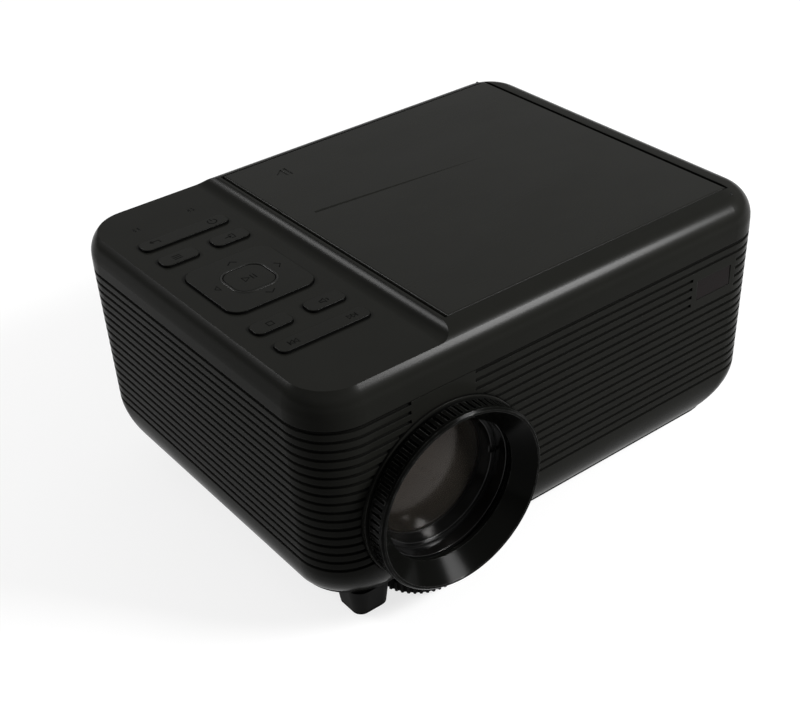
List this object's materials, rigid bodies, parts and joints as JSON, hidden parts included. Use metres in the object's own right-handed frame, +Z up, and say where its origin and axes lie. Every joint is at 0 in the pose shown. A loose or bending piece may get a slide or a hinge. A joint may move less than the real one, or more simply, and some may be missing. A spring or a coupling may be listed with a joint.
{
  "type": "projector with built in dvd player",
  "caption": "Small box projector with a disc player under a hinged lid, a key panel, grooved walls, a toothed focus ring around the lens and a levelling foot wheel.",
  "frame": {"origin": "centre of the whole footprint, casing and focus ring together, on the plane the feet stand on", "axes": "+Z up; the lens looks along -Y; the key panel is at the -X end and the lid hinge at the +X end"},
  "size_m": [0.23, 0.1844, 0.116],
  "materials": {
    "casing": "fine satin moulding",
    "lid": "smooth satin",
    "keys": "satin",
    "light_guide": "clear",
    "inner_plastic": "matt",
    "steel": "brushed",
    "aluminium": "anodised",
    "brass": "machined",
    "optical_glass": "coated",
    "window": "polished",
    "board": "solder mask",
    "components": "mixed",
    "rubber": "matt",
    "led": "phosphor",
    "screen": "polarised",
    "paper": "pressed fibre"
  },
  "bodies": {
    "base": {"housing": "casing", "top_cover": "casing", "base_cover": "inner_plastic", "hinge_pins": "steel", "latch_case": "inner_plastic", "dome_sheet": "rubber", "key_board": "board", "indicator_lights": "light_guide", "disc_deck": "inner_plastic", "drive_chassis": "steel", "guide_rods": "steel", "feed_motor": "steel", "spindle_motor": "steel", "deck_dampers": "rubber", "disc_board": "board", "lens_bezel": "lid", "lens_mount": "inner_plastic", "engine_box": "inner_plastic", "engine_cover": "inner_plastic", "lcd_frame": "inner_plastic", "lcd_panel": "screen", "light_plates": "optical_glass", "condenser_lens": "optical_glass", "led_module": "led", "heatsink": "aluminium", "fan_frame": "inner_plastic", "main_board": "board", "board_parts": "components", "speakers": "steel", "speaker_cones": "paper", "port_plate": "inner_plastic", "power_jack": "inner_plastic", "signal_jacks": "steel", "ir_window": "window", "rubber_feet": "rubber", "foot_bush": "brass", "tripod_insert": "brass", "base_screws": "steel"},
    "lid": {"disc_lid": "lid"},
    "latch": {"latch_plunger": "inner_plastic"},
    "spindle": {"turntable": "inner_plastic"},
    "screw": {"lead_screw": "steel"},
    "sled": {"pickup_sled": "inner_plastic"},
    "ring": {"focus_ring": "casing"},
    "cell": {"lens_cell": "inner_plastic", "lens_retainer": "inner_plastic", "front_lens": "optical_glass", "rear_lens": "optical_glass"},
    "fan": {"fan_rotor": "inner_plastic"},
    "wheel": {"foot_wheel": "inner_plastic"},
    "stud": {"foot_stud": "inner_plastic"},
    "switch": {"power_switch": "keys"},
    "rear_wide_key_body": {"rear_wide_key": "keys"},
    "rear_left_key_body": {"rear_left_key": "keys"},
    "rear_right_key_body": {"rear_right_key": "keys"},
    "front_left_key_body": {"front_left_key": "keys"},
    "front_right_key_body": {"front_right_key": "keys"},
    "front_wide_key_body": {"front_wide_key": "keys"},
    "nav_pad_body": {"nav_pad": "keys"},
    "centre_key_body": {"centre_key": "keys"}
  },
  "joints": [
    {"name": "lid_hinge", "type": "hinge", "parent": "base", "child": "lid", "pos_m": [0.0979, 0.0052, 0.1142], "axis": [0, 1, 0], "range_deg": [0, 80]},
    {"name": "latch_press", "type": "slide", "parent": "base", "child": "latch", "axis": [0, 0, -1], "range_m": [0, 0.002], "stiffness_N_per_m": 300},
    {"name": "spindle_turn", "type": "hinge", "parent": "base", "child": "spindle", "pos_m": [0.0245, 0.0052, 0.104], "axis": [0, 0, 1], "continuous": true},
    {"name": "sled_slide", "type": "slide", "parent": "base", "child": "sled", "axis": [1, 0, 0], "range_m": [0, 0.03]},
    {"name": "screw_turn", "type": "hinge", "parent": "base", "child": "screw", "pos_m": [0.06, -0.0248, 0.0974], "axis": [1, 0, 0], "range_deg": [0, 3600]},
    {"name": "focus_turn", "type": "hinge", "parent": "base", "child": "ring", "pos_m": [-0.06, -0.0848, 0.0515], "axis": [0, -1, 0], "range_deg": [-64, 16]},
    {"name": "focus_travel", "type": "slide", "parent": "base", "child": "cell", "axis": [0, -1, 0], "range_m": [-0.004, 0.001]},
    {"name": "fan_turn", "type": "hinge", "parent": "base", "child": "fan", "pos_m": [-0.06, 0.0802, 0.0515], "axis": [0, 1, 0], "continuous": true},
    {"name": "foot_travel", "type": "slide", "parent": "base", "child": "stud", "axis": [0, 0, -1], "range_m": [0, 0.007]},
    {"name": "foot_turn", "type": "hinge", "parent": "base", "child": "wheel", "pos_m": [-0.06, -0.0613, 0.004], "axis": [0, 0, 1], "range_deg": [0, 1680]},
    {"name": "switch_rock", "type": "hinge", "parent": "base", "child": "switch", "pos_m": [0.031, 0.08831, 0.0394], "axis": [0, 0, 1], "range_deg": [-8, 8]},
    {"name": "rear_wide_key_press", "type": "slide", "parent": "base", "child": "rear_wide_key_body", "axis": [0, 0, -1], "range_m": [0, 0.0006], "stiffness_N_per_m": 800},
    {"name": "rear_left_key_press", "type": "slide", "parent": "base", "child": "rear_left_key_body", "axis": [0, 0, -1], "range_m": [0, 0.0006], "stiffness_N_per_m": 800},
    {"name": "rear_right_key_press", "type": "slide", "parent": "base", "child": "rear_right_key_body", "axis": [0, 0, -1], "range_m": [0, 0.0006], "stiffness_N_per_m": 800},
    {"name": "front_left_key_press", "type": "slide", "parent": "base", "child": "front_left_key_body", "axis": [0, 0, -1], "range_m": [0, 0.0006], "stiffness_N_per_m": 800},
    {"name": "front_right_key_press", "type": "slide", "parent": "base", "child": "front_right_key_body", "axis": [0, 0, -1], "range_m": [0, 0.0006], "stiffness_N_per_m": 800},
    {"name": "front_wide_key_press", "type": "slide", "parent": "base", "child": "front_wide_key_body", "axis": [0, 0, -1], "range_m": [0, 0.0006], "stiffness_N_per_m": 800},
    {"name": "nav_pad_press", "type": "slide", "parent": "base", "child": "nav_pad_body", "axis": [0, 0, -1], "range_m": [0, 0.0006], "stiffness_N_per_m": 800},
    {"name": "centre_key_press", "type": "slide", "parent": "base", "child": "centre_key_body", "axis": [0, 0, -1], "range_m": [0, 0.0006], "stiffness_N_per_m": 800}
  ],
  "couplings": [
    {"joint": "screw_turn", "follows": "sled_slide", "rad_per_m": 2094.4},
    {"joint": "focus_travel", "follows": "focus_turn", "m_per_rad": 0.003581},
    {"joint": "foot_turn", "follows": "foot_travel", "rad_per_m": 4188.8}
  ]
}
